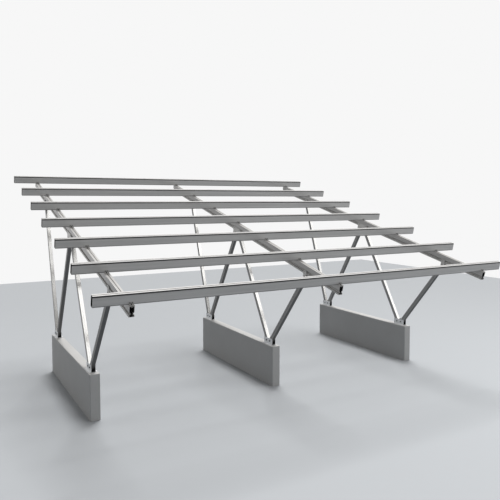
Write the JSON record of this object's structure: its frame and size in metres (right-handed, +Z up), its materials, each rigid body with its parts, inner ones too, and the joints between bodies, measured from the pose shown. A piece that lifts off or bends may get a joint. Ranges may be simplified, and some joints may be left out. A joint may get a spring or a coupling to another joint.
{
  "type": "solar carport",
  "caption": "Aluminium carport frame for solar modules: slotted purlins on sloping rafters, W-shaped strut frames and concrete footing walls.",
  "frame": {"origin": "on the ground, at the middle of the part's box", "axes": "+X along the purlins to the right, +Y from the low eave to the high one, +Z up"},
  "size_m": [7.08, 6.2654, 3.6837],
  "materials": {
    "concrete": "matte",
    "foot_aluminium": "satin",
    "strut_aluminium": "satin",
    "bracket_aluminium": "satin",
    "rafter_aluminium": "satin",
    "purlin_aluminium": "satin",
    "cleat_aluminium": "satin",
    "fastener_steel": "satin"
  },
  "bodies": {
    "root": {"footing_left": "concrete", "footing_middle": "concrete", "footing_right": "concrete", "foot_left_front": "foot_aluminium", "foot_left_rear": "foot_aluminium", "foot_middle_front": "foot_aluminium", "foot_middle_rear": "foot_aluminium", "foot_right_front": "foot_aluminium", "foot_right_rear": "foot_aluminium", "strut_left_1": "strut_aluminium", "strut_left_2": "strut_aluminium", "strut_left_3": "strut_aluminium", "strut_left_4": "strut_aluminium", "strut_middle_1": "strut_aluminium", "strut_middle_2": "strut_aluminium", "strut_middle_3": "strut_aluminium", "strut_middle_4": "strut_aluminium", "strut_right_1": "strut_aluminium", "strut_right_2": "strut_aluminium", "strut_right_3": "strut_aluminium", "strut_right_4": "strut_aluminium", "bracket_left_front": "bracket_aluminium", "bracket_left_middle": "bracket_aluminium", "bracket_left_rear": "bracket_aluminium", "bracket_middle_front": "bracket_aluminium", "bracket_middle_middle": "bracket_aluminium", "bracket_middle_rear": "bracket_aluminium", "bracket_right_front": "bracket_aluminium", "bracket_right_middle": "bracket_aluminium", "bracket_right_rear": "bracket_aluminium", "rafter_left": "rafter_aluminium", "rafter_middle": "rafter_aluminium", "rafter_right": "rafter_aluminium", "purlin_1": "purlin_aluminium", "purlin_2": "purlin_aluminium", "purlin_3": "purlin_aluminium", "purlin_4": "purlin_aluminium", "purlin_5": "purlin_aluminium", "purlin_6": "purlin_aluminium", "purlin_7": "purlin_aluminium", "cleats": "cleat_aluminium", "slot_bolts": "fastener_steel", "slot_nuts": "fastener_steel", "cleat_screws": "fastener_steel", "bracket_screws": "bracket_aluminium", "strut_bolts": "strut_aluminium", "strut_nuts": "strut_aluminium", "anchor_studs": "fastener_steel", "anchor_washers": "fastener_steel", "anchor_nuts": "fastener_steel"}
  },
  "joints": []
}
